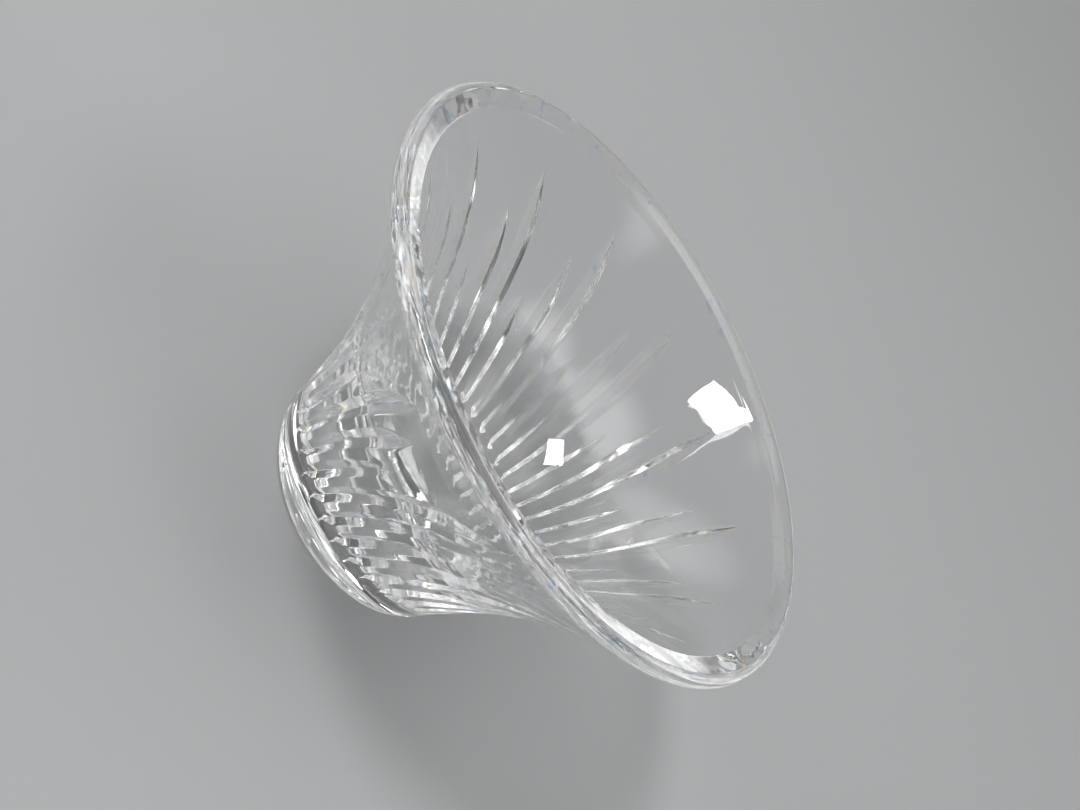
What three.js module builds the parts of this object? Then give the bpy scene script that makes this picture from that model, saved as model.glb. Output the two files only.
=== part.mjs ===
// A flared cut crystal bowl: one body of clear glass, in millimetres, +Z up.
// The origin is the centre of the foot, on the plane that the bowl stands on.
// Cuts are V grooves ground into the outside. They climb in a slow swirl, in groups of one long,
// one middle and one short cut, and each ends in a point.
import * as THREE from 'three';

// Outer form
const rimRadius = 105;          // widest circle, on the outside of the lip
const bowlHeight = 115.5;       // from the standing plane to the top of the lip
const footRadius = 46.8;        // where the wall leaves the rounded corner of the foot
const footCornerRound = 5.4;    // corner between the standing plane and the wall
const footLean = 0.3;           // how far the wall leans out for each mm of height, just above the foot
const rimLean = 0.98;           // the same, just below the lip
const footSweep = 15;           // length over which the foot's lean is felt in the wall's curve
const rimSweep = 66;            // length over which the rim's lean is felt

// Glass thickness
const wallThickness = 8.6;      // square to the wall
const floorThickness = 26;      // at the centre of the bowl
const innerSweepHeight = 60;    // below this height the inner wall curves in to the floor
const innerWallSweep = 20;      // length over which that curve keeps the wall's direction
const innerFloorRadius = 20;    // length over which the floor is nearly level
const lipOuterRound = 3;        // rounding of the lip on the outside
const lipSlope = 16;            // degrees that the polished top of the lip falls towards the inside
const lipInnerRound = 1.2;      // softened edge between the top of the lip and the inner wall

// Underside
const standingRingWidth = 9;    // flat ground ring that touches the table
const hollowDepth = 0.8;        // the middle of the foot is ground a little hollow
const hollowBevel = 2;          // level width of the slope between the ring and the hollow

// Cuts
const cutGroups = 13;           // groups of one long, one middle and one short cut
const longTipDrop = 14;         // height of each kind of tip below the widest circle
const middleTipDrop = 28;
const shortTipDrop = 48;
const cutFootHeight = 17;       // height of the lower ends
const cutFootWidth = 5;         // width of a cut near its lower end, measured level
const cutTopWidth = 8;          // width of a long cut near its tip
const cutAngle = 118;           // angle between the two faces of the V, in degrees
const tipTaper = 20;            // height over which a cut narrows to its tip
const footTaper = 5;            // height over which it narrows to its lower end
const cutTwist = 0.345;         // degrees that a cut turns for each mm that it climbs
const firstTipAngle = 11;       // angle of the first long tip from +X, in degrees

// Fineness of the mesh
const wallRows = 9;             // rows over the plain stretch of the inner wall
const curveSteps = 5;           // steps round the foot's corner
const lipSteps = [2, 5, 1];     // steps round the lip: up to its widest, on to its highest, and to its top
const edgeSteps = 2;            // steps round the lip's inner edge
const rowSpacing = 9;           // widest gap between two rows of the cut wall
const leastRowGap = 1.6;        // rows closer than this are one row
const plainStrip = 0.8;         // level width of the strip that a cut's columns keep beyond its ends
const stripSpread = 0.18;       // how much wider that strip grows for each mm away from the cut
const widestStrip = 2 / 3;      // most of a pitch that a cut's columns take up
const pointShape = [0, 0.14, 0.42, 1];  // rows of a pointed end, as shares of its taper
const plainTopRows = [0.4, 0.75, 1];    // rows between the highest tip and the lip, as shares of the way
const halvings = 40;            // steps in finding a height on the wall's curve

const degree = Math.PI / 180;
const rimLeanAngle = Math.atan(rimLean);
const footLeanAngle = Math.atan(footLean);
const widestHeight = bowlHeight - lipOuterRound;
const cutsPerGroup = 3;
const cutCount = cutGroups * cutsPerGroup;
const tipHeights = [longTipDrop, middleTipDrop, shortTipDrop].map((drop) => widestHeight - drop);
const cutTopHeight = Math.max(...tipHeights);

// Profile points are Vector2: x is the radius and y the height.
const along = (lean) => new THREE.Vector2(Math.sin(lean), Math.cos(lean));
const outward = (lean) => new THREE.Vector2(Math.cos(lean), -Math.sin(lean));

const footCornerCentre = new THREE.Vector2(
  footRadius - footCornerRound * Math.cos(footLeanAngle),
  footCornerRound,
);
const lipOuterCentre = new THREE.Vector2(rimRadius - lipOuterRound, bowlHeight - lipOuterRound);
const wallFoot = footCornerCentre.clone().addScaledVector(outward(footLeanAngle), footCornerRound);
const wallTop = lipOuterCentre.clone().addScaledVector(outward(rimLeanAngle), lipOuterRound);
const wallCurve = new THREE.CubicBezierCurve(
  wallFoot,
  wallFoot.clone().addScaledVector(along(footLeanAngle), footSweep),
  wallTop.clone().addScaledVector(along(rimLeanAngle), -rimSweep),
  wallTop,
);

// Position along the wall's curve at which it passes a height, found by halving.
function wallPosition(height) {
  let low = 0;
  let high = 1;
  for (let step = 0; step < halvings; step += 1) {
    const middle = (low + high) / 2;
    if (wallCurve.getPoint(middle).y < height) low = middle;
    else high = middle;
  }
  return (low + high) / 2;
}

// A point at a depth under the outer wall, measured square to it.
function wallPoint(position, depth = 0) {
  const direction = wallCurve.getTangent(position);
  const inward = new THREE.Vector2(-direction.y, direction.x);
  return wallCurve.getPoint(position).addScaledVector(inward, depth);
}

// Points on an arc, from one angle to another, both in degrees from the +radius direction.
function arcPoints(centre, radius, from, to, steps) {
  return Array.from({ length: steps + 1 }, (_, step) => {
    const angle = (from + (to - from) * (step / steps)) * degree;
    return new THREE.Vector2(centre.x + radius * Math.cos(angle), centre.y + radius * Math.sin(angle));
  });
}

// The mesh is a stack of rings. A ring lists its vertices counter-clockwise, seen from above.
const positions = [];
const triangles = [];

function addVertex(radius, angle, height) {
  positions.push(radius * Math.cos(angle), radius * Math.sin(angle), height);
  return positions.length / 3 - 1;
}

// A plain ring has two vertices for each cut: one in line with it and one half-way to the next.
function plainRing(point, turn) {
  const count = cutCount * 2;
  const angles = Array.from({ length: count }, (_, index) => turn + (index * 2 * Math.PI) / count);
  return { angles, vertices: angles.map((angle) => addVertex(point.x, angle, point.y)) };
}

const turnAt = (height) => (firstTipAngle + cutTwist * (height - cutTopHeight)) * degree;

// Level width of a cut at a height, 0 beyond its ends.
function cutWidth(height, tipHeight) {
  const belowTip = THREE.MathUtils.clamp((tipHeight - height) / tipTaper, 0, 1);
  const aboveFoot = THREE.MathUtils.clamp((height - cutFootHeight) / footTaper, 0, 1);
  const climb = (height - cutFootHeight) / (cutTopHeight - cutFootHeight);
  const fullWidth = THREE.MathUtils.lerp(cutFootWidth, cutTopWidth, climb);
  return fullWidth * Math.sin((belowTip * Math.PI) / 2) * Math.sin((aboveFoot * Math.PI) / 2);
}

// A cut ring has three vertices for each cut: its two edges on the wall and its valley under it.
function cutRing(height) {
  const position = wallPosition(height);
  const surface = wallPoint(position);
  const pitch = (2 * Math.PI) / cutCount;
  const angles = [];
  const vertices = [];
  for (let cut = 0; cut < cutCount; cut += 1) {
    const tipHeight = tipHeights[cut % cutsPerGroup];
    const width = cutWidth(height, tipHeight);
    const beyond = Math.max(height - tipHeight, cutFootHeight - height, 0);
    const strip = Math.max(width, plainStrip + stripSpread * beyond);
    const half = Math.min(strip / surface.x, pitch * widestStrip) / 2;
    const valley = wallPoint(position, width / 2 / Math.tan((cutAngle / 2) * degree));
    const centre = turnAt(height) + cut * pitch;
    angles.push(centre - half, centre, centre + half);
    vertices.push(
      addVertex(surface.x, centre - half, surface.y),
      addVertex(valley.x, centre, valley.y),
      addVertex(surface.x, centre + half, surface.y),
    );
  }
  return { angles, vertices };
}

// Joins two rings that have the same columns.
function joinColumns(lower, upper) {
  const count = lower.vertices.length;
  for (let index = 0; index < count; index += 1) {
    const next = (index + 1) % count;
    const [a, b] = [lower.vertices[index], lower.vertices[next]];
    const [c, d] = [upper.vertices[index], upper.vertices[next]];
    triangles.push(a, b, d, a, d, c);
  }
}

// Joins two rings with different columns, always stepping the one whose next vertex comes first.
function joinByAngle(lower, upper) {
  const angleAt = (ring, index) => {
    const count = ring.angles.length;
    return ring.angles[index % count] + 2 * Math.PI * Math.floor(index / count);
  };
  const vertexAt = (ring, index) => ring.vertices[index % ring.vertices.length];
  let below = 0;
  let above = 0;
  while (below < lower.vertices.length || above < upper.vertices.length) {
    const stepBelow = above === upper.vertices.length
      || (below < lower.vertices.length && angleAt(lower, below + 1) <= angleAt(upper, above + 1));
    const from = vertexAt(lower, below);
    const to = vertexAt(upper, above);
    if (stepBelow) {
      triangles.push(from, vertexAt(lower, below + 1), to);
      below += 1;
    } else {
      triangles.push(from, vertexAt(upper, above + 1), to);
      above += 1;
    }
  }
}

// Heights of the rows of the cut wall: the ends of each kind of cut, the shape of its point,
// and enough rows between them.
function cutRowHeights() {
  const wanted = pointShape.map((share) => cutFootHeight + footTaper * share);
  for (const tip of tipHeights) wanted.push(...pointShape.map((share) => tip - tipTaper * share));
  wanted.sort((a, b) => a - b);
  const rows = [];
  for (const height of wanted) {
    const last = rows[rows.length - 1];
    if (rows.length > 0 && height - last < leastRowGap) continue;
    const extra = rows.length > 0 ? Math.ceil((height - last) / rowSpacing) - 1 : 0;
    for (let step = 1; step <= extra; step += 1) {
      rows.push(last + ((height - last) * step) / (extra + 1));
    }
    rows.push(height);
  }
  return rows;
}

// Profile of the underside and the foot's corner, from the centre outwards.
function underside() {
  const ringOuter = footCornerCentre.x;
  const ringInner = ringOuter - standingRingWidth;
  const corner = arcPoints(footCornerCentre, footCornerRound, -90, -footLeanAngle / degree, curveSteps);
  return [
    new THREE.Vector2(ringInner - hollowBevel, hollowDepth),
    new THREE.Vector2(ringInner, 0),
    ...corner,
  ];
}

// Centre of the circle that rounds the corner between two straight surfaces. Each surface is given by a
// point on it and its normal out of the glass.
function cornerCentre(first, firstNormal, second, secondNormal, radius) {
  const firstReach = first.dot(firstNormal) - radius;
  const secondReach = second.dot(secondNormal) - radius;
  const cross = firstNormal.cross(secondNormal);
  return new THREE.Vector2(
    (firstReach * secondNormal.y - secondReach * firstNormal.y) / cross,
    (secondReach * firstNormal.x - firstReach * secondNormal.x) / cross,
  );
}

// Profile over the lip and down the inside to the floor, from the outside in.
function lipAndInside() {
  const lean = rimLeanAngle / degree;
  const turns = [-lean, 0, 90, 90 + lipSlope];
  const outer = lipSteps.flatMap((steps, part) => (
    arcPoints(lipOuterCentre, lipOuterRound, turns[part], turns[part + 1], steps).slice(1)
  ));
  const topNormal = new THREE.Vector2(-Math.sin(lipSlope * degree), Math.cos(lipSlope * degree));
  const innerNormal = outward(rimLeanAngle).negate();
  const innerWall = wallPoint(1, wallThickness);
  const topStart = outer[outer.length - 1];
  const edgeCentre = cornerCentre(topStart, topNormal, innerWall, innerNormal, lipInnerRound);
  const inner = arcPoints(edgeCentre, lipInnerRound, 90 + lipSlope, 180 - lean, edgeSteps);
  const sweepStart = wallPosition(innerSweepHeight);
  const wall = Array.from({ length: wallRows }, (_, row) => {
    const share = (row + 1) / wallRows;
    return wallPoint(1 + (sweepStart - 1) * share, wallThickness);
  }).filter((point) => point.y < inner[inner.length - 1].y - leastRowGap);
  const sweepTop = wall[wall.length - 1];
  const down = wallCurve.getTangent(sweepStart).negate();
  const floorCurve = new THREE.CubicBezierCurve(
    sweepTop,
    sweepTop.clone().addScaledVector(down, innerWallSweep),
    new THREE.Vector2(innerFloorRadius, floorThickness),
    new THREE.Vector2(0, floorThickness),
  );
  const floor = floorCurve.getPoints(wallRows).slice(1, -1);
  return [...outer, ...inner, ...wall, ...floor];
}

function bowlGeometry() {
  const footTurn = turnAt(cutFootHeight);
  const topTurn = turnAt(cutTopHeight);
  const lower = underside().map((point) => plainRing(point, footTurn));
  const middle = cutRowHeights().map(cutRing);
  const plainTop = plainTopRows.map((share) => {
    const start = wallPosition(cutTopHeight);
    return plainRing(wallPoint(start + (1 - start) * share), topTurn);
  });
  const upper = [...plainTop, ...lipAndInside().map((point) => plainRing(point, topTurn))];

  const underCentre = addVertex(0, 0, hollowDepth);
  const floorCentre = addVertex(0, 0, floorThickness);
  const firstRing = lower[0].vertices;
  const lastRing = upper[upper.length - 1].vertices;
  firstRing.forEach((vertex, index) => {
    triangles.push(underCentre, firstRing[(index + 1) % firstRing.length], vertex);
  });
  for (let row = 1; row < lower.length; row += 1) joinColumns(lower[row - 1], lower[row]);
  joinByAngle(lower[lower.length - 1], middle[0]);
  for (let row = 1; row < middle.length; row += 1) joinColumns(middle[row - 1], middle[row]);
  joinByAngle(middle[middle.length - 1], upper[0]);
  for (let row = 1; row < upper.length; row += 1) joinColumns(upper[row - 1], upper[row]);
  lastRing.forEach((vertex, index) => {
    triangles.push(vertex, lastRing[(index + 1) % lastRing.length], floorCentre);
  });

  const geometry = new THREE.BufferGeometry();
  geometry.setAttribute('position', new THREE.Float32BufferAttribute(positions, 3));
  geometry.setIndex(triangles);
  geometry.computeVertexNormals();
  return geometry;
}

const crystal = new THREE.MeshStandardMaterial({
  color: 0xf4f8f8,
  roughness: 0.02,
  metalness: 0,
  transparent: true,
  opacity: 0.35,
});

const bowl = new THREE.Mesh(bowlGeometry(), crystal);
bowl.name = 'bowl';

const assembly = new THREE.Group();
assembly.name = 'crystal_bowl';
assembly.add(bowl);

export default assembly;
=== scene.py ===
"""A flared cut crystal bowl, standing on a pale studio floor.

The bowl is one body of clear glass. Its surface is one closed grid of rings round the Z axis, from the
centre of the underside, up the cut outside, over the lip and down the inside to the centre of the floor.
The named sizes are in mm, and the mesh is in metres in the row frame, with the origin at the centre of
the foot.
"""

import math

import bpy
import numpy as np
from mathutils import Matrix, Vector


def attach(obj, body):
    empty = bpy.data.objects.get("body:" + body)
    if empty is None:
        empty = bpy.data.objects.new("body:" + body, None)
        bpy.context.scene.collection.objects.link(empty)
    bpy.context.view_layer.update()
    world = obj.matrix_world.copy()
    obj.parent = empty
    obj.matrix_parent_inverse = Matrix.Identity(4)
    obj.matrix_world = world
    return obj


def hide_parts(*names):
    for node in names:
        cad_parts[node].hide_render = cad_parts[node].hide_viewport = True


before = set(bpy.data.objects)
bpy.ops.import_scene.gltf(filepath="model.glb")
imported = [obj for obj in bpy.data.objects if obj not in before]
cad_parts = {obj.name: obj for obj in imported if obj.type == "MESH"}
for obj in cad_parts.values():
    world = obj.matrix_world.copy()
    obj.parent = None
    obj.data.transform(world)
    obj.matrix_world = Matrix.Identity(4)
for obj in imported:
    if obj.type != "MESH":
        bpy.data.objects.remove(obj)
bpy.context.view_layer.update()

MM = 0.001

# Outer form, with the same named sizes as in the part's source. A lean is the wall's outward reach over
# its rise, and a sweep is how far the wall's curve keeps to that lean.
RIM_RADIUS = 105.0
BOWL_HEIGHT = 115.5
FOOT_RADIUS = 46.8
FOOT_CORNER_ROUND = 5.4
FOOT_LEAN = 0.3
RIM_LEAN = 0.98
FOOT_SWEEP = 15.0
RIM_SWEEP = 66.0

# Thickness of the glass, the curve down to the floor, and the lip.
WALL_THICKNESS = 8.6
FLOOR_THICKNESS = 26.0
INNER_SWEEP_HEIGHT = 60.0
INNER_WALL_SWEEP = 20.0
INNER_FLOOR_RADIUS = 20.0
LIP_OUTER_ROUND = 3.0
LIP_SLOPE = math.radians(16.0)
LIP_INNER_ROUND = 1.2

# Underside.
STANDING_RING_WIDTH = 9.0
HOLLOW_DEPTH = 0.8
HOLLOW_BEVEL = 2.0

# Cuts. A tip drop is how far a length of cut ends under the height at which the bowl is widest.
CUT_GROUPS = 13
TIP_DROPS = (14.0, 28.0, 48.0)
CUT_FOOT_HEIGHT = 17.0
CUT_FOOT_WIDTH = 5.0
CUT_TOP_WIDTH = 8.0
CUT_ANGLE = math.radians(118.0)
TIP_TAPER = 20.0
FOOT_TAPER = 5.0
CUT_TWIST = math.radians(0.345)
FIRST_TIP_ANGLE = math.radians(11.0)
EDGE_POLISH = 0.10
VALLEY_POLISH = 0.05

# Rows and columns of the grid. The shares place a cut's columns on its half width, and then on the land
# between it and the next cut.
CURVE_SAMPLES = 4001
PLAIN_FOOT_ROWS = 5
CUT_ROWS = 46
TIP_ROWS = 11
FOOT_TAPER_ROWS = 8
LEAST_ROW_GAP = 0.35
PLAIN_TOP_ROWS = 9
INNER_WALL_ROWS = 33
LEAST_LIP_GAP = 0.8
FLOOR_ROWS = 25
CUT_SHARES = np.array([0.06, 0.5, 0.93, 1.0, 1.07])
LAND_SHARES = np.array([0.28, 0.62])
LEAST_CUT_STRIP = 0.8

# Finish of the glass. What lies deeper under the outer wall than the deepest cut is the inside, which isn't
# ground.
CRYSTAL_IOR = 1.54
POLISH_HEIGHT = 0.11
FULL_GROUND_DEPTH = 0.3
DEEPEST_CUT = 3.5
MARK_RADIUS = 70.0
MARK_STRETCH = (1.0, 1.0, 0.015)
# Colours of the painted fire: flecks painted into the clear glass that stand in for light the crystal
# splits.
PAINTED_FIRE_COLOURS = (
    (0.36, (0.30, 0.55, 1.0, 1)),
    (0.44, (0.55, 0.95, 1.0, 1)),
    (0.5, (1, 1, 1, 1)),
    (0.58, (1.0, 0.95, 0.62, 1)),
    (0.66, (1.0, 0.62, 0.30, 1)),
)

# Light. A direction is (azimuth from +Y towards +X, elevation) in degrees.
# The window's distance and size are in metres, and the sky's greys are set by the height of a direction.
WINDOW_DIRECTION = (-134.0, 54.0)
WINDOW_SEEN_AT = (30.0, 82.0, 103.0)
WINDOW_DISTANCE = 2.4
WINDOW_SIZE = (0.66, 0.36)
WINDOW_RADIANCE = 26.0
LIGHT_TURNS = 32
SKY_GREYS = ((0.0, 0.32), (0.15, 0.30), (0.45, 0.11), (1.0, 0.06))
SKY_TINT = (1.0, 1.01, 1.02)
# Soft lamps, named by where they hang round the bowl: azimuth, elevation, half width and half height in
# degrees, and radiance. They are wide and weak, so that they fill the cuts and hardly show on the wall.
SOFT_LAMPS = {
    "behind, low": (5.0, 12.0, 14.0, 8.0, 2.8),
    "behind, half way up": (40.0, 36.0, 14.0, 8.0, 3.0),
    "right, high": (60.0, 68.0, 40.0, 14.0, 1.6),
    "front right, low": (145.0, 20.0, 40.0, 14.0, 2.2),
    "overhead": (180.0, 84.0, 40.0, 14.0, 1.2),
    "front, low": (-160.0, 28.0, 40.0, 14.0, 1.9),
    "front left, low": (-125.0, 12.0, 26.0, 10.0, 2.6),
    "left, low": (-85.0, 20.0, 40.0, 14.0, 1.0),
    "left, high": (-70.0, 60.0, 26.0, 10.0, 2.0),
}

# The floor, in metres: half its side, and how far it lies under the foot.
FLOOR_REACH = 8.0
FLOOR_GAP = 0.00005

# The camera. Its focal length is in the photograph's own pixels, and its place is in mm.
PHOTO_WIDTH = 1080.0
FOCAL_LENGTH = 1400.0
SENSOR_WIDTH = 36.0
CAMERA_PLACE = (-1.86, -408.72, 312.2)
CAMERA_LOOK = (0.0, 0.8704, -0.4924)
CAMERA_UP = (-0.8937, 0.2209, 0.3905)

# Worked out from the values above.
FOOT_LEAN_ANGLE = math.atan(FOOT_LEAN)
RIM_LEAN_ANGLE = math.atan(RIM_LEAN)
CUT_COUNT = len(TIP_DROPS) * CUT_GROUPS
PITCH = 2 * math.pi / CUT_COUNT
COLUMNS_PER_CUT = 2 * (len(CUT_SHARES) + len(LAND_SHARES)) + 2
WIDEST_HEIGHT = BOWL_HEIGHT - LIP_OUTER_ROUND
TIP_HEIGHTS = WIDEST_HEIGHT - np.array(TIP_DROPS)
CUT_TOP_HEIGHT = float(TIP_HEIGHTS.max())


# The profile. A point is (radius, height).


def along(lean):
    """Unit direction of a wall that leans outwards by that angle from upright."""
    return np.array([math.sin(lean), math.cos(lean)])


def outward(lean):
    """Unit direction square to such a wall, pointing out of the glass."""
    return np.array([math.cos(lean), -math.sin(lean)])


def bezier(handles, t):
    """Cubic curve through four handles: the sum of handle i times its Bernstein weight at t."""
    t = np.atleast_1d(t)[:, None]
    weights = np.hstack([(1 - t) ** 3, 3 * t * (1 - t) ** 2, 3 * t**2 * (1 - t), t**3])
    return weights @ np.asarray(handles)


def bezier_slope(handles, t):
    """Unit tangent of the same curve: its derivative, made one long."""
    t = np.atleast_1d(t)[:, None]
    legs = np.diff(np.asarray(handles), axis=0)
    slope = np.hstack([(1 - t) ** 2, 2 * t * (1 - t), t**2]) @ legs
    return slope / np.linalg.norm(slope, axis=1)[:, None]


def arc(centre, radius, start, end, steps):
    """Points at even angles on a circle, from start to end, both included."""
    angle = np.linspace(start, end, steps + 1)
    return np.asarray(centre) + radius * np.column_stack([np.cos(angle), np.sin(angle)])


FOOT_CENTRE = np.array([FOOT_RADIUS - FOOT_CORNER_ROUND * math.cos(FOOT_LEAN_ANGLE), FOOT_CORNER_ROUND])
LIP_CENTRE = np.array([RIM_RADIUS - LIP_OUTER_ROUND, BOWL_HEIGHT - LIP_OUTER_ROUND])
WALL_FOOT = FOOT_CENTRE + FOOT_CORNER_ROUND * outward(FOOT_LEAN_ANGLE)
WALL_TOP = LIP_CENTRE + LIP_OUTER_ROUND * outward(RIM_LEAN_ANGLE)
WALL = [
    WALL_FOOT,
    WALL_FOOT + FOOT_SWEEP * along(FOOT_LEAN_ANGLE),
    WALL_TOP - RIM_SWEEP * along(RIM_LEAN_ANGLE),
    WALL_TOP,
]


def wall_position(height):
    """Place along the wall's curve at which it passes each height, read off a fine table of the curve."""
    t = np.linspace(0, 1, CURVE_SAMPLES)
    return np.interp(height, bezier(WALL, t)[:, 1], t)


def under_wall(t, depth):
    """Point under the outer wall: the curve's point, moved square to it into the glass by the depth."""
    slope = bezier_slope(WALL, t)
    inward = np.column_stack([-slope[:, 1], slope[:, 0]])
    return bezier(WALL, t) + inward * np.atleast_1d(depth)[:, None]


def underside_profile():
    """From the edge of the hollow, over the standing ring and round the foot's corner to the wall."""
    ring_outer = FOOT_CENTRE[0]
    ring_inner = ring_outer - STANDING_RING_WIDTH
    hollow = [[ring_inner - HOLLOW_BEVEL, HOLLOW_DEPTH]]
    ring = np.column_stack([np.linspace(ring_inner, ring_outer, 5), np.zeros(5)])
    corner = arc(FOOT_CENTRE, FOOT_CORNER_ROUND, -math.pi / 2, -FOOT_LEAN_ANGLE, 12)
    return np.vstack([hollow, ring, corner[1:]])


def corner_centre(first, first_normal, second, second_normal, radius):
    """Centre of the circle that rounds the corner of two straight surfaces: the point that lies the
    radius under both."""
    normals = np.array([first_normal, second_normal])
    reach = np.array([np.dot(first, first_normal), np.dot(second, second_normal)]) - radius
    return np.linalg.solve(normals, reach)


def lip_profile():
    """Round the outside of the lip, down its sloping top and over the soft edge to the inner wall."""
    top_turn = math.pi / 2 + LIP_SLOPE
    turns = [(-RIM_LEAN_ANGLE, 0.0, 6), (0.0, math.pi / 2, 10), (math.pi / 2, top_turn, 3)]
    outer = np.vstack([arc(LIP_CENTRE, LIP_OUTER_ROUND, *turn)[1:] for turn in turns])
    top_normal = np.array([-math.sin(LIP_SLOPE), math.cos(LIP_SLOPE)])
    inner_top = under_wall(1.0, WALL_THICKNESS)[0]
    inner_normal = -outward(RIM_LEAN_ANGLE)
    centre = corner_centre(outer[-1], top_normal, inner_top, inner_normal, LIP_INNER_ROUND)
    edge = arc(centre, LIP_INNER_ROUND, top_turn, math.pi - RIM_LEAN_ANGLE, 5)
    top = outer[-1] + (edge[0] - outer[-1]) * np.array([[0.25], [0.5], [0.75]])
    return np.vstack([outer, top, edge])


def inside_profile(lowest_lip):
    """Down the inner wall, a wall's thickness under the outer curve, then on one curve in to the axis."""
    sweep_start = float(wall_position(INNER_SWEEP_HEIGHT))
    places = np.linspace(1.0, sweep_start, INNER_WALL_ROWS + 1)[1:]
    wall = under_wall(places, np.full(INNER_WALL_ROWS, WALL_THICKNESS))
    wall = wall[wall[:, 1] < lowest_lip - LEAST_LIP_GAP]
    down = -bezier_slope(WALL, sweep_start)[0]
    floor = [
        wall[-1],
        wall[-1] + INNER_WALL_SWEEP * down,
        [INNER_FLOOR_RADIUS, FLOOR_THICKNESS],
        [0.0, FLOOR_THICKNESS],
    ]
    return np.vstack([wall, bezier(floor, np.linspace(0, 1, FLOOR_ROWS + 2)[1:-1])])


# The cuts.


def turn_at(height):
    """Angle of the first long cut at a height: the tip's angle, less the twist for each mm below it."""
    return FIRST_TIP_ANGLE + CUT_TWIST * (height - CUT_TOP_HEIGHT)


def cut_width(height, tip_height):
    """Level width of a cut: a straight change from foot to top, times a quarter sine at each end."""
    below_tip = np.clip((tip_height - height) / TIP_TAPER, 0, 1)
    above_foot = np.clip((height - CUT_FOOT_HEIGHT) / FOOT_TAPER, 0, 1)
    climb = (height - CUT_FOOT_HEIGHT) / (CUT_TOP_HEIGHT - CUT_FOOT_HEIGHT)
    full = CUT_FOOT_WIDTH + (CUT_TOP_WIDTH - CUT_FOOT_WIDTH) * climb
    return full * np.sin(below_tip * math.pi / 2) * np.sin(above_foot * math.pi / 2)


def cut_depth(across, width):
    """Depth of a V cut: what is left of the half width, over the tangent of half its angle, with the
    edge and the valley rounded by the square root of a square sum."""
    soft = np.clip(width, 0, 1)
    reach = np.sqrt(across**2 + (VALLEY_POLISH * soft) ** 2)
    straight = (width / 2 - reach) / math.tan(CUT_ANGLE / 2)
    return (straight + np.sqrt(straight**2 + (EDGE_POLISH * soft) ** 2)) / 2 * (width > 0)


def cut_columns(width, radius):
    """Angles of a cut's columns from its centre, the same both ways. The first ones keep to shares of the
    half width and follow the cut's edge, and the rest share the land up to the next cut."""
    strip = np.maximum(width, LEAST_CUT_STRIP) / 2 / radius
    groove = strip[..., None] * CUT_SHARES
    land_start = groove[..., -1:]
    land = land_start + (PITCH / 2 - land_start) * LAND_SHARES
    side = np.concatenate([groove, land], axis=-1)
    middle = np.zeros_like(strip)[..., None]
    return np.concatenate([-side[..., ::-1], middle, side, middle + PITCH / 2], axis=-1)


def cut_row_heights():
    """Heights of the rows of the cut wall: even ones, with closer ones below each kind of tip."""
    rows = [np.linspace(CUT_FOOT_HEIGHT, CUT_TOP_HEIGHT, CUT_ROWS)]
    for tip in TIP_HEIGHTS:
        rows.append(tip - TIP_TAPER * np.linspace(0, 1, TIP_ROWS) ** 1.5)
    rows.append(CUT_FOOT_HEIGHT + FOOT_TAPER * np.linspace(0, 1, FOOT_TAPER_ROWS))
    heights = np.unique(np.round(np.concatenate(rows), 3))
    keep = np.concatenate([[True], np.diff(heights) > LEAST_ROW_GAP])
    return heights[keep]


def cut_rings():
    """The cut wall: for each row and column, the wall's point moved into the glass by the cut's depth."""
    heights = cut_row_heights()
    t = wall_position(heights)
    surface = bezier(WALL, t)
    slope = bezier_slope(WALL, t)
    cut = np.arange(CUT_COUNT)
    width = cut_width(heights[:, None], TIP_HEIGHTS[cut % len(TIP_DROPS)][None, :])
    radius = surface[:, 0][:, None]
    offset = cut_columns(width, radius)
    across = offset * radius[..., None]
    depth = cut_depth(across, width[..., None])
    angle = turn_at(heights)[:, None, None] + cut[None, :, None] * PITCH + offset
    ring_radius = surface[:, 0][:, None, None] - slope[:, 1][:, None, None] * depth
    ring_height = surface[:, 1][:, None, None] + slope[:, 0][:, None, None] * depth
    shape = (len(heights), CUT_COUNT * COLUMNS_PER_CUT)
    return angle.reshape(shape), ring_radius.reshape(shape), ring_height.reshape(shape)


def plain_rings(profile, angle):
    """Rings without cuts: one for each profile point, at the given column angles."""
    shape = (len(profile), angle.shape[-1])
    return tuple(np.broadcast_to(part, shape) for part in (angle, profile[:, :1], profile[:, 1:]))


def blend_rings(profile, angle_from, angle_to):
    """Plain rings whose columns move evenly from one set of angles to another, row by row."""
    share = (np.arange(len(profile)) + 1)[:, None] / len(profile)
    return plain_rings(profile, angle_from[None, :] * (1 - share) + angle_to[None, :] * share)


def to_xyz(rings):
    """Ring coordinates (angle, radius, height) to points, row after row."""
    angle, radius, height = rings
    return np.stack([radius * np.cos(angle), radius * np.sin(angle), height], axis=-1).reshape(-1, 3)


def band_faces(first, rows, columns):
    """Quads between neighbouring rows of one grid whose first vertex has that index, closed all round."""
    row = first + np.arange(rows - 1)[:, None] * columns
    column = np.arange(columns)[None, :]
    beside = (column + 1) % columns
    a, b = row + column, row + beside
    return np.stack([a, b, b + columns, a + columns], axis=-1).reshape(-1, 4)


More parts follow.
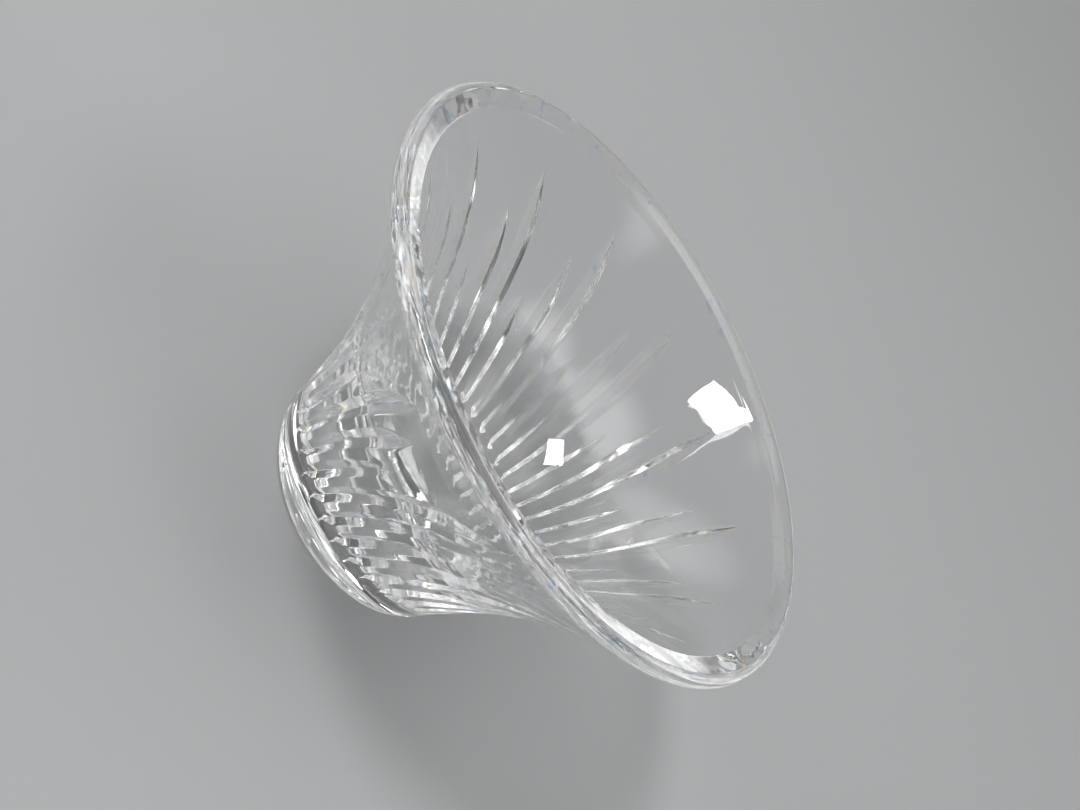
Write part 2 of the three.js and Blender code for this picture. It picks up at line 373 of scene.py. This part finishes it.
def bowl_mesh():
    """Vertices, quads and triangles of the whole bowl. The outside keeps all of a cut's columns and the
    inside half as many, with a ring of triangles between the two."""
    cut = cut_rings()
    columns = cut[0].shape[1]
    foot_angle, top_angle = cut[0][0], cut[0][-1]
    cut_foot, cut_top = wall_position(CUT_FOOT_HEIGHT), wall_position(CUT_TOP_HEIGHT)
    wall_start = bezier(WALL, np.linspace(0.0, cut_foot, PLAIN_FOOT_ROWS + 2)[1:-1])
    top = bezier(WALL, np.linspace(cut_top, 1.0, PLAIN_TOP_ROWS + 1)[1:])
    lip = lip_profile()
    even = top_angle[0] + np.arange(columns) * 2 * math.pi / columns
    inner_angle = even[::2]
    inside = inside_profile(lip[-1, 1])
    outer_parts = [
        plain_rings(np.vstack([underside_profile(), wall_start]), foot_angle),
        cut,
        blend_rings(top, top_angle, even),
        plain_rings(lip, even),
    ]
    outer_rows = sum(len(part[0]) for part in outer_parts)
    inner_rings = plain_rings(inside, inner_angle)
    poles = np.array([[0, 0, HOLLOW_DEPTH], [0, 0, FLOOR_THICKNESS]])
    points = np.vstack([*[to_xyz(part) for part in outer_parts], to_xyz(inner_rings), poles])

    half = columns // 2
    inner_first = outer_rows * columns
    last_outer = inner_first - columns
    last_inner = inner_first + (len(inside) - 1) * half
    under_pole, floor_pole = len(points) - 2, len(points) - 1
    quads = np.vstack([band_faces(0, outer_rows, columns), band_faces(inner_first, len(inside), half)])
    i = np.arange(half)
    left, mid, right = last_outer + 2 * i, last_outer + 2 * i + 1, last_outer + (2 * i + 2) % columns
    low, low_next = inner_first + i, inner_first + (i + 1) % half
    column = np.arange(columns)
    triangles = np.vstack(
        [
            np.column_stack([np.full(columns, under_pole), (column + 1) % columns, column]),
            np.column_stack([left, mid, low]),
            np.column_stack([mid, low_next, low]),
            np.column_stack([mid, right, low_next]),
            np.column_stack([last_inner + i, last_inner + (i + 1) % half, np.full(half, floor_pole)]),
        ]
    )
    return points * MM, quads, triangles


def mesh_piece(name, points, quads, triangles, material):
    """One mesh object at the origin from whole arrays of points and faces."""
    mesh = bpy.data.meshes.new(name)
    corners = np.concatenate([quads.ravel(), triangles.ravel()]).astype(np.int32)
    sizes = np.concatenate([np.full(len(quads), 4), np.full(len(triangles), 3)]).astype(np.int32)
    starts = np.concatenate([[0], np.cumsum(sizes)[:-1]]).astype(np.int32)
    mesh.vertices.add(len(points))
    mesh.vertices.foreach_set("co", np.ascontiguousarray(points, np.float32).ravel())
    mesh.loops.add(len(corners))
    mesh.loops.foreach_set("vertex_index", corners)
    mesh.polygons.add(len(sizes))
    mesh.polygons.foreach_set("loop_start", starts)
    mesh.polygons.foreach_set("loop_total", sizes)
    mesh.polygons.foreach_set("use_smooth", np.ones(len(sizes), bool))
    mesh.update(calc_edges=True)
    mesh.validate()
    mesh.materials.append(material)
    piece = bpy.data.objects.new(name, mesh)
    bpy.context.scene.collection.objects.link(piece)
    return piece


def mark_ground_faces(mesh):
    """Stores two things for each vertex. ground_faces is 1 in the cuts and on the lip's top and 0 on plain
    glass, and a cut's share is its depth under the wall over the depth at which it is 1. along_cut is the
    place on a drum of the marks' radius, turned back by the cuts' twist, so that a cut runs straight up it,
    and it is nothing above the cuts."""
    place = np.empty(len(mesh.vertices) * 3)
    mesh.vertices.foreach_get("co", place)
    place = place.reshape(-1, 3) / MM
    radius, height = np.hypot(place[:, 0], place[:, 1]), place[:, 2]
    t = wall_position(height)
    under = (bezier(WALL, t)[:, 0] - radius) * bezier_slope(WALL, t)[:, 1]
    cut = np.clip(under / FULL_GROUND_DEPTH, 0, 1) * (under < DEEPEST_CUT)
    on_wall = (height > CUT_FOOT_HEIGHT) & (height < CUT_TOP_HEIGHT)
    lip = height > BOWL_HEIGHT - LIP_OUTER_ROUND
    share = np.where(on_wall, cut, lip * 1.0)
    attribute = mesh.attributes.new("ground_faces", "FLOAT", "POINT")
    attribute.data.foreach_set("value", share.astype(np.float32))
    turned = np.arctan2(place[:, 1], place[:, 0]) - turn_at(height)
    drum = np.stack([MARK_RADIUS * np.cos(turned), MARK_RADIUS * np.sin(turned), height], axis=-1)
    drum = drum * (height < CUT_TOP_HEIGHT)[:, None] * MM
    attribute = mesh.attributes.new("along_cut", "FLOAT_VECTOR", "POINT")
    attribute.data.foreach_set("vector", drum.astype(np.float32).ravel())


# Materials.


def new_group(name, inputs, outputs):
    """An empty shader node group. Inputs and outputs are (name, kind, default) with kind Float, Color or
    Vector."""
    group = bpy.data.node_groups.new(name, "ShaderNodeTree")
    for way, sockets in (("INPUT", inputs), ("OUTPUT", outputs)):
        for label, kind, default in sockets:
            socket = group.interface.new_socket(label, in_out=way, socket_type="NodeSocket" + kind)
            if default is not None:
                socket.default_value = default
    return group, group.nodes.new("NodeGroupInput"), group.nodes.new("NodeGroupOutput")


def add_node(tree, kind, sockets=None, **settings):
    """A node with its settings, and each named socket set to a value or linked from another output."""
    node = tree.nodes.new("ShaderNode" + kind)
    for label, value in settings.items():
        setattr(node, label, value)
    for label, value in (sockets or {}).items():
        if isinstance(value, bpy.types.NodeSocket):
            tree.links.new(value, node.inputs[label])
        else:
            node.inputs[label].default_value = value
    return node


def math_node(tree, operation, first, second):
    """Output of a Math node that works on two values or outputs."""
    return add_node(tree, "Math", {0: first, 1: second}, operation=operation).outputs[0]


def object_noise(tree, scale, detail, distortion=0.0):
    """Output of a noise on Object coordinates, with that many lumps to the metre."""
    place = add_node(tree, "TexCoord").outputs["Object"]
    sockets = {"Vector": place, "Scale": scale, "Detail": detail, "Distortion": distortion}
    return add_node(tree, "TexNoise", sockets).outputs[0]


def set_ramp(ramp, stops):
    """Gives a colour ramp its stops, each a position and a colour."""
    elements = ramp.color_ramp.elements
    elements.remove(elements[-1])
    for number, (position, colour) in enumerate(stops):
        element = elements[0] if number == 0 else elements.new(position)
        element.position, element.color = position, colour


def hand_polish_group():
    """Height of the faint waves that a felt wheel leaves: broad ones, with finer ones on top. The waves are
    counted to the metre."""
    group, given, result = new_group(
        "hand_polish",
        [("Broad Waves", "Float", 60.0), ("Fine Waves", "Float", 260.0), ("Fine Share", "Float", 0.045)],
        [("Height", "Float", None)],
    )
    broad = object_noise(group, given.outputs["Broad Waves"], detail=1.5)
    fine = object_noise(group, given.outputs["Fine Waves"], detail=2.0, distortion=0.4)
    fine_part = math_node(group, "MULTIPLY", fine, given.outputs["Fine Share"])
    group.links.new(math_node(group, "ADD", broad, fine_part), result.inputs["Height"])
    return group


def wheel_marks_group():
    """Height of the fine lines that the cutting wheel leaves along a cut: noise that is drawn out along it,
    on the ground faces alone."""
    group, given, result = new_group(
        "wheel_marks",
        [
            ("Place", "Vector", None),
            ("Faces", "Float", 1.0),
            ("Lines", "Float", 1100.0),
            ("Share", "Float", 0.2),
        ],
        [("Height", "Float", None)],
    )
    sockets = {0: given.outputs["Place"], 1: MARK_STRETCH}
    drawn_out = add_node(group, "VectorMath", sockets, operation="MULTIPLY").outputs[0]
    sockets = {"Vector": drawn_out, "Scale": given.outputs["Lines"], "Detail": 2.0, "Roughness": 0.6}
    lines = add_node(group, "TexNoise", sockets).outputs[0]
    masked = math_node(group, "MULTIPLY", lines, given.outputs["Faces"])
    height = math_node(group, "MULTIPLY", masked, given.outputs["Share"])
    group.links.new(height, result.inputs["Height"])
    return group


def surface_wear_group():
    """Roughness of used glass: faint dry smears all over, and scratched, dulled glass where the standing
    ring slides on the table, within the wear height."""
    group, given, result = new_group(
        "surface_wear",
        [
            ("Smear Roughness", "Float", 0.02),
            ("Ring Roughness", "Float", 0.3),
            ("Wear Height", "Float", 0.0006),
        ],
        [("Roughness", "Float", None)],
    )
    smears = object_noise(group, 38.0, detail=5.0, distortion=1.2)
    spread = add_node(
        group, "MapRange", {"Value": smears, "From Min": 0.52, "From Max": 0.75, "To Min": 0.0}
    )
    group.links.new(given.outputs["Smear Roughness"], spread.inputs["To Max"])
    place = add_node(group, "TexCoord").outputs["Object"]
    height = add_node(group, "SeparateXYZ", {0: place}).outputs["Z"]
    touching = add_node(
        group, "MapRange", {"Value": height, "From Min": 0.0, "To Min": 1.0, "To Max": 0.0}
    )
    group.links.new(given.outputs["Wear Height"], touching.inputs["From Max"])
    scratches = object_noise(group, 900.0, detail=3.0, distortion=2.5)
    scratched = math_node(group, "MULTIPLY", touching.outputs[0], scratches)
    ring = math_node(group, "MULTIPLY", scratched, given.outputs["Ring Roughness"])
    group.links.new(math_node(group, "ADD", spread.outputs[0], ring), result.inputs["Roughness"])
    return group


def painted_fire_group():
    """Colour of the glass: clear, with small sparse flecks of blue and amber painted on the cut faces and
    the lip. They are painted light, standing in for the colours into which lead crystal splits the light."""
    group, given, result = new_group(
        "painted_prism_fire",
        [("Clear", "Color", (0.985, 0.99, 0.99, 1)), ("Amount", "Float", 0.5), ("Faces", "Float", 1.0)],
        [("Color", "Color", None)],
    )
    hue = object_noise(group, 150.0, detail=1.0, distortion=0.6)
    ramp = add_node(group, "ValToRGB", {"Fac": hue})
    set_ramp(ramp, PAINTED_FIRE_COLOURS)
    flecks = object_noise(group, 420.0, detail=2.0)
    sparse = add_node(group, "MapRange", {"Value": flecks, "From Min": 0.54, "From Max": 0.66}).outputs[0]
    on_faces = math_node(group, "MULTIPLY", sparse, given.outputs["Faces"])
    share = math_node(group, "MULTIPLY", on_faces, given.outputs["Amount"])
    sockets = {"Factor": share, "A": given.outputs["Clear"], "B": ramp.outputs["Color"]}
    tint = add_node(group, "Mix", sockets, data_type="RGBA", blend_type="MIX", clamp_factor=True)
    group.links.new(tint.outputs["Result"], result.inputs["Color"])
    return group


def place_group(tree, group, **values):
    """The group as a node of a material, with its own values. A value's name has _ for each space."""
    node = tree.nodes.new("ShaderNodeGroup")
    node.node_tree = group
    for label, value in values.items():
        node.inputs[label.replace("_", " ")].default_value = value
    return node


def crystal():
    """Clear polished lead crystal, with the wheel's faint waves, a little wear and a little painted fire:
    flecks of split light painted into its colour.
    """
    material = bpy.data.materials.new("clear_crystal")
    material.use_nodes = True
    tree = material.node_tree
    shader = tree.nodes["Principled BSDF"]
    shader.inputs["Transmission Weight"].default_value = 1.0
    shader.inputs["IOR"].default_value = CRYSTAL_IOR
    cut_mask = add_node(tree, "Attribute", attribute_name="ground_faces")
    # Painted fire: coloured flecks of split light, painted into the base colour of the cut faces and the
    # lip.
    fire = place_group(tree, painted_fire_group(), Amount=0.7)
    tree.links.new(cut_mask.outputs["Fac"], fire.inputs["Faces"])
    tree.links.new(fire.outputs["Color"], shader.inputs["Base Color"])
    wear = place_group(tree, surface_wear_group(), Smear_Roughness=0.02)
    tree.links.new(wear.outputs["Roughness"], shader.inputs["Roughness"])
    polish = place_group(tree, hand_polish_group())
    marks = place_group(tree, wheel_marks_group(), Share=0.6)
    along = add_node(tree, "Attribute", attribute_name="along_cut")
    tree.links.new(along.outputs["Vector"], marks.inputs["Place"])
    tree.links.new(cut_mask.outputs["Fac"], marks.inputs["Faces"])
    height = math_node(tree, "ADD", polish.outputs["Height"], marks.outputs["Height"])
    bump = add_node(tree, "Bump", {"Strength": 1.0, "Distance": POLISH_HEIGHT * MM, "Height": height})
    tree.links.new(bump.outputs["Normal"], shader.inputs["Normal"])
    return material


def floor_material():
    """Matt pale paper, clear from below, so that the underside of the bowl can be looked at."""
    material = bpy.data.materials.new("pale_floor")
    material.use_nodes = True
    tree = material.node_tree
    shader = tree.nodes["Principled BSDF"]
    below = add_node(tree, "NewGeometry").outputs["Backfacing"]
    clear = add_node(tree, "BsdfTransparent")
    mix = add_node(tree, "MixShader", {0: below, 1: shader.outputs["BSDF"], 2: clear.outputs["BSDF"]})
    tree.links.new(mix.outputs["Shader"], tree.nodes["Material Output"].inputs["Surface"])
    shader.inputs["Base Color"].default_value = (0.46, 0.464, 0.47, 1)
    shader.inputs["Roughness"].default_value = 0.9
    shader.inputs["Specular IOR Level"].default_value = 0.2
    return material


def studio():
    """Pale floor, soft light from all round, and one window that the photograph shows as a highlight. The
    floor lies a hair under the foot, because two faces at one height would render black."""
    corners = ((-1, -1), (1, -1), (1, 1), (-1, 1))
    points = np.array([[x * FLOOR_REACH, y * FLOOR_REACH, -FLOOR_GAP] for x, y in corners])
    floor = mesh_piece("floor", points, np.array([[0, 1, 2, 3]]), np.zeros((0, 3), int), floor_material())
    studio_world()
    window()


def direction_axes(azimuth, elevation):
    """Unit vectors out to a place in the sky, and to the right and up across it. Azimuth runs from +Y
    towards +X."""
    a, e = math.radians(azimuth), math.radians(elevation)
    out = Vector((math.sin(a) * math.cos(e), math.cos(a) * math.cos(e), math.sin(e)))
    across = Vector((math.cos(a), -math.sin(a), 0.0))
    return out, across, across.cross(out)


def window():
    """The window, placed out along the ray that the inner wall reflects to the camera. A lamp's power is its
    radiance times pi times its area."""
    light = bpy.data.lights.new("window", "AREA")
    light.shape = "RECTANGLE"
    light.size, light.size_y = WINDOW_SIZE
    light.energy = WINDOW_RADIANCE * math.pi * light.size * light.size_y
    lamp = bpy.data.objects.new("window", light)
    out, _, _ = direction_axes(*WINDOW_DIRECTION)
    lamp.location = Vector(WINDOW_SEEN_AT) * MM + out * WINDOW_DISTANCE
    lamp.rotation_mode = "QUATERNION"
    lamp.rotation_quaternion = out.to_track_quat("Z", "Y")
    bpy.context.scene.collection.objects.link(lamp)


def soft_lamp_group():
    """Light of one soft-edged oval lamp in the sky. The direction's reach across and up the lamp, each over
    its half size, gives a radius, and the light is a smooth step of 1 less that radius squared."""
    group, given, result = new_group(
        "soft_lamp",
        [
            ("Direction", "Vector", None),
            ("Out", "Vector", (0, 0, 1)),
            ("Across", "Vector", (1, 0, 0)),
            ("Up", "Vector", (0, 1, 0)),
            ("Radiance", "Float", 1.0),
        ],
        [("Light", "Float", None)],
    )

    def reach(axis):
        sockets = {0: given.outputs["Direction"], 1: given.outputs[axis]}
        return add_node(group, "VectorMath", sockets, operation="DOT_PRODUCT").outputs["Value"]

    ahead = math_node(group, "MAXIMUM", reach("Out"), 0.001)
    across = math_node(group, "DIVIDE", reach("Across"), ahead)
    up = math_node(group, "DIVIDE", reach("Up"), ahead)
    across_squared = math_node(group, "MULTIPLY", across, across)
    up_squared = math_node(group, "MULTIPLY", up, up)
    squares = math_node(group, "ADD", across_squared, up_squared)
    inside = math_node(group, "SUBTRACT", 1.0, squares)
    light = add_node(group, "MapRange", {"Value": inside, "To Min": 0.0}, interpolation_type="SMOOTHSTEP")
    group.links.new(given.outputs["Radiance"], light.inputs["To Max"])
    group.links.new(light.outputs["Result"], result.inputs["Light"])
    return group


def studio_world():
    """Soft light from all round, as pale as the far floor at the horizon and darker overhead, with the soft
    lamps added. As any lamp, they light the bowl and show in it, but the camera doesn't see them."""
    world = bpy.data.worlds.new("studio")
    bpy.context.scene.world = world
    world.use_nodes = True
    tree = world.node_tree
    direction = add_node(tree, "TexCoord").outputs["Generated"]
    height = add_node(tree, "SeparateXYZ", {0: direction}).outputs["Z"]
    ramp = add_node(tree, "ValToRGB", {"Fac": height})
    ramp.color_ramp.interpolation = "B_SPLINE"
    set_ramp(ramp, [(height, (*(grey * part for part in SKY_TINT), 1)) for height, grey in SKY_GREYS])
    group = soft_lamp_group()
    total = None
    for azimuth, elevation, half_width, half_height, radiance in SOFT_LAMPS.values():
        out, across, up = direction_axes(azimuth, elevation)
        lamp = place_group(tree, group, Out=out, Radiance=radiance)
        lamp.inputs["Across"].default_value = across / math.tan(math.radians(half_width))
        lamp.inputs["Up"].default_value = up / math.tan(math.radians(half_height))
        tree.links.new(direction, lamp.inputs["Direction"])
        light = lamp.outputs["Light"]
        total = light if total is None else math_node(tree, "ADD", total, light)
    seen = add_node(tree, "LightPath").outputs["Is Camera Ray"]
    total = math_node(tree, "MULTIPLY", total, math_node(tree, "SUBTRACT", 1.0, seen))
    lamps = add_node(tree, "CombineColor", {"Red": total, "Green": total, "Blue": total})
    sockets = {"Factor": 1.0, "A": ramp.outputs["Color"], "B": lamps.outputs["Color"]}
    both = add_node(tree, "Mix", sockets, data_type="RGBA", blend_type="ADD")
    tree.links.new(both.outputs["Result"], tree.nodes["Background"].inputs["Color"])


def light_paths(cycles):
    """Let light turn round inside the glass often enough, so the lip isn't black."""
    cycles.max_bounces = LIGHT_TURNS
    cycles.transmission_bounces = LIGHT_TURNS
    cycles.glossy_bounces = LIGHT_TURNS


def camera():
    """The photograph's viewpoint, worked out from the ellipse of the rim. The camera is rolled, because in
    the photograph the bowl lies on its side, with its mouth to the right."""
    data = bpy.data.cameras.new("camera")
    data.sensor_fit = "HORIZONTAL"
    data.sensor_width = SENSOR_WIDTH
    data.lens = FOCAL_LENGTH * SENSOR_WIDTH / PHOTO_WIDTH
    data.clip_start, data.clip_end = 0.02, 50
    cam = bpy.data.objects.new("camera", data)
    back = -Vector(CAMERA_LOOK).normalized()
    up = Vector(CAMERA_UP)
    right = up.cross(back).normalized()
    up = back.cross(right)
    turn = Matrix((right, up, back)).transposed()
    cam.matrix_world = Matrix.Translation(Vector(CAMERA_PLACE) * MM) @ turn.to_4x4()
    bpy.context.scene.collection.objects.link(cam)
    bpy.context.scene.camera = cam


camera()
studio()
bowl = mesh_piece("cut_bowl", *bowl_mesh(), crystal())
mark_ground_faces(bowl.data)
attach(bowl, "root")
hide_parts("bowl")

bpy.context.scene.view_settings.view_transform = "Standard"
light_paths(bpy.context.scene.cycles)
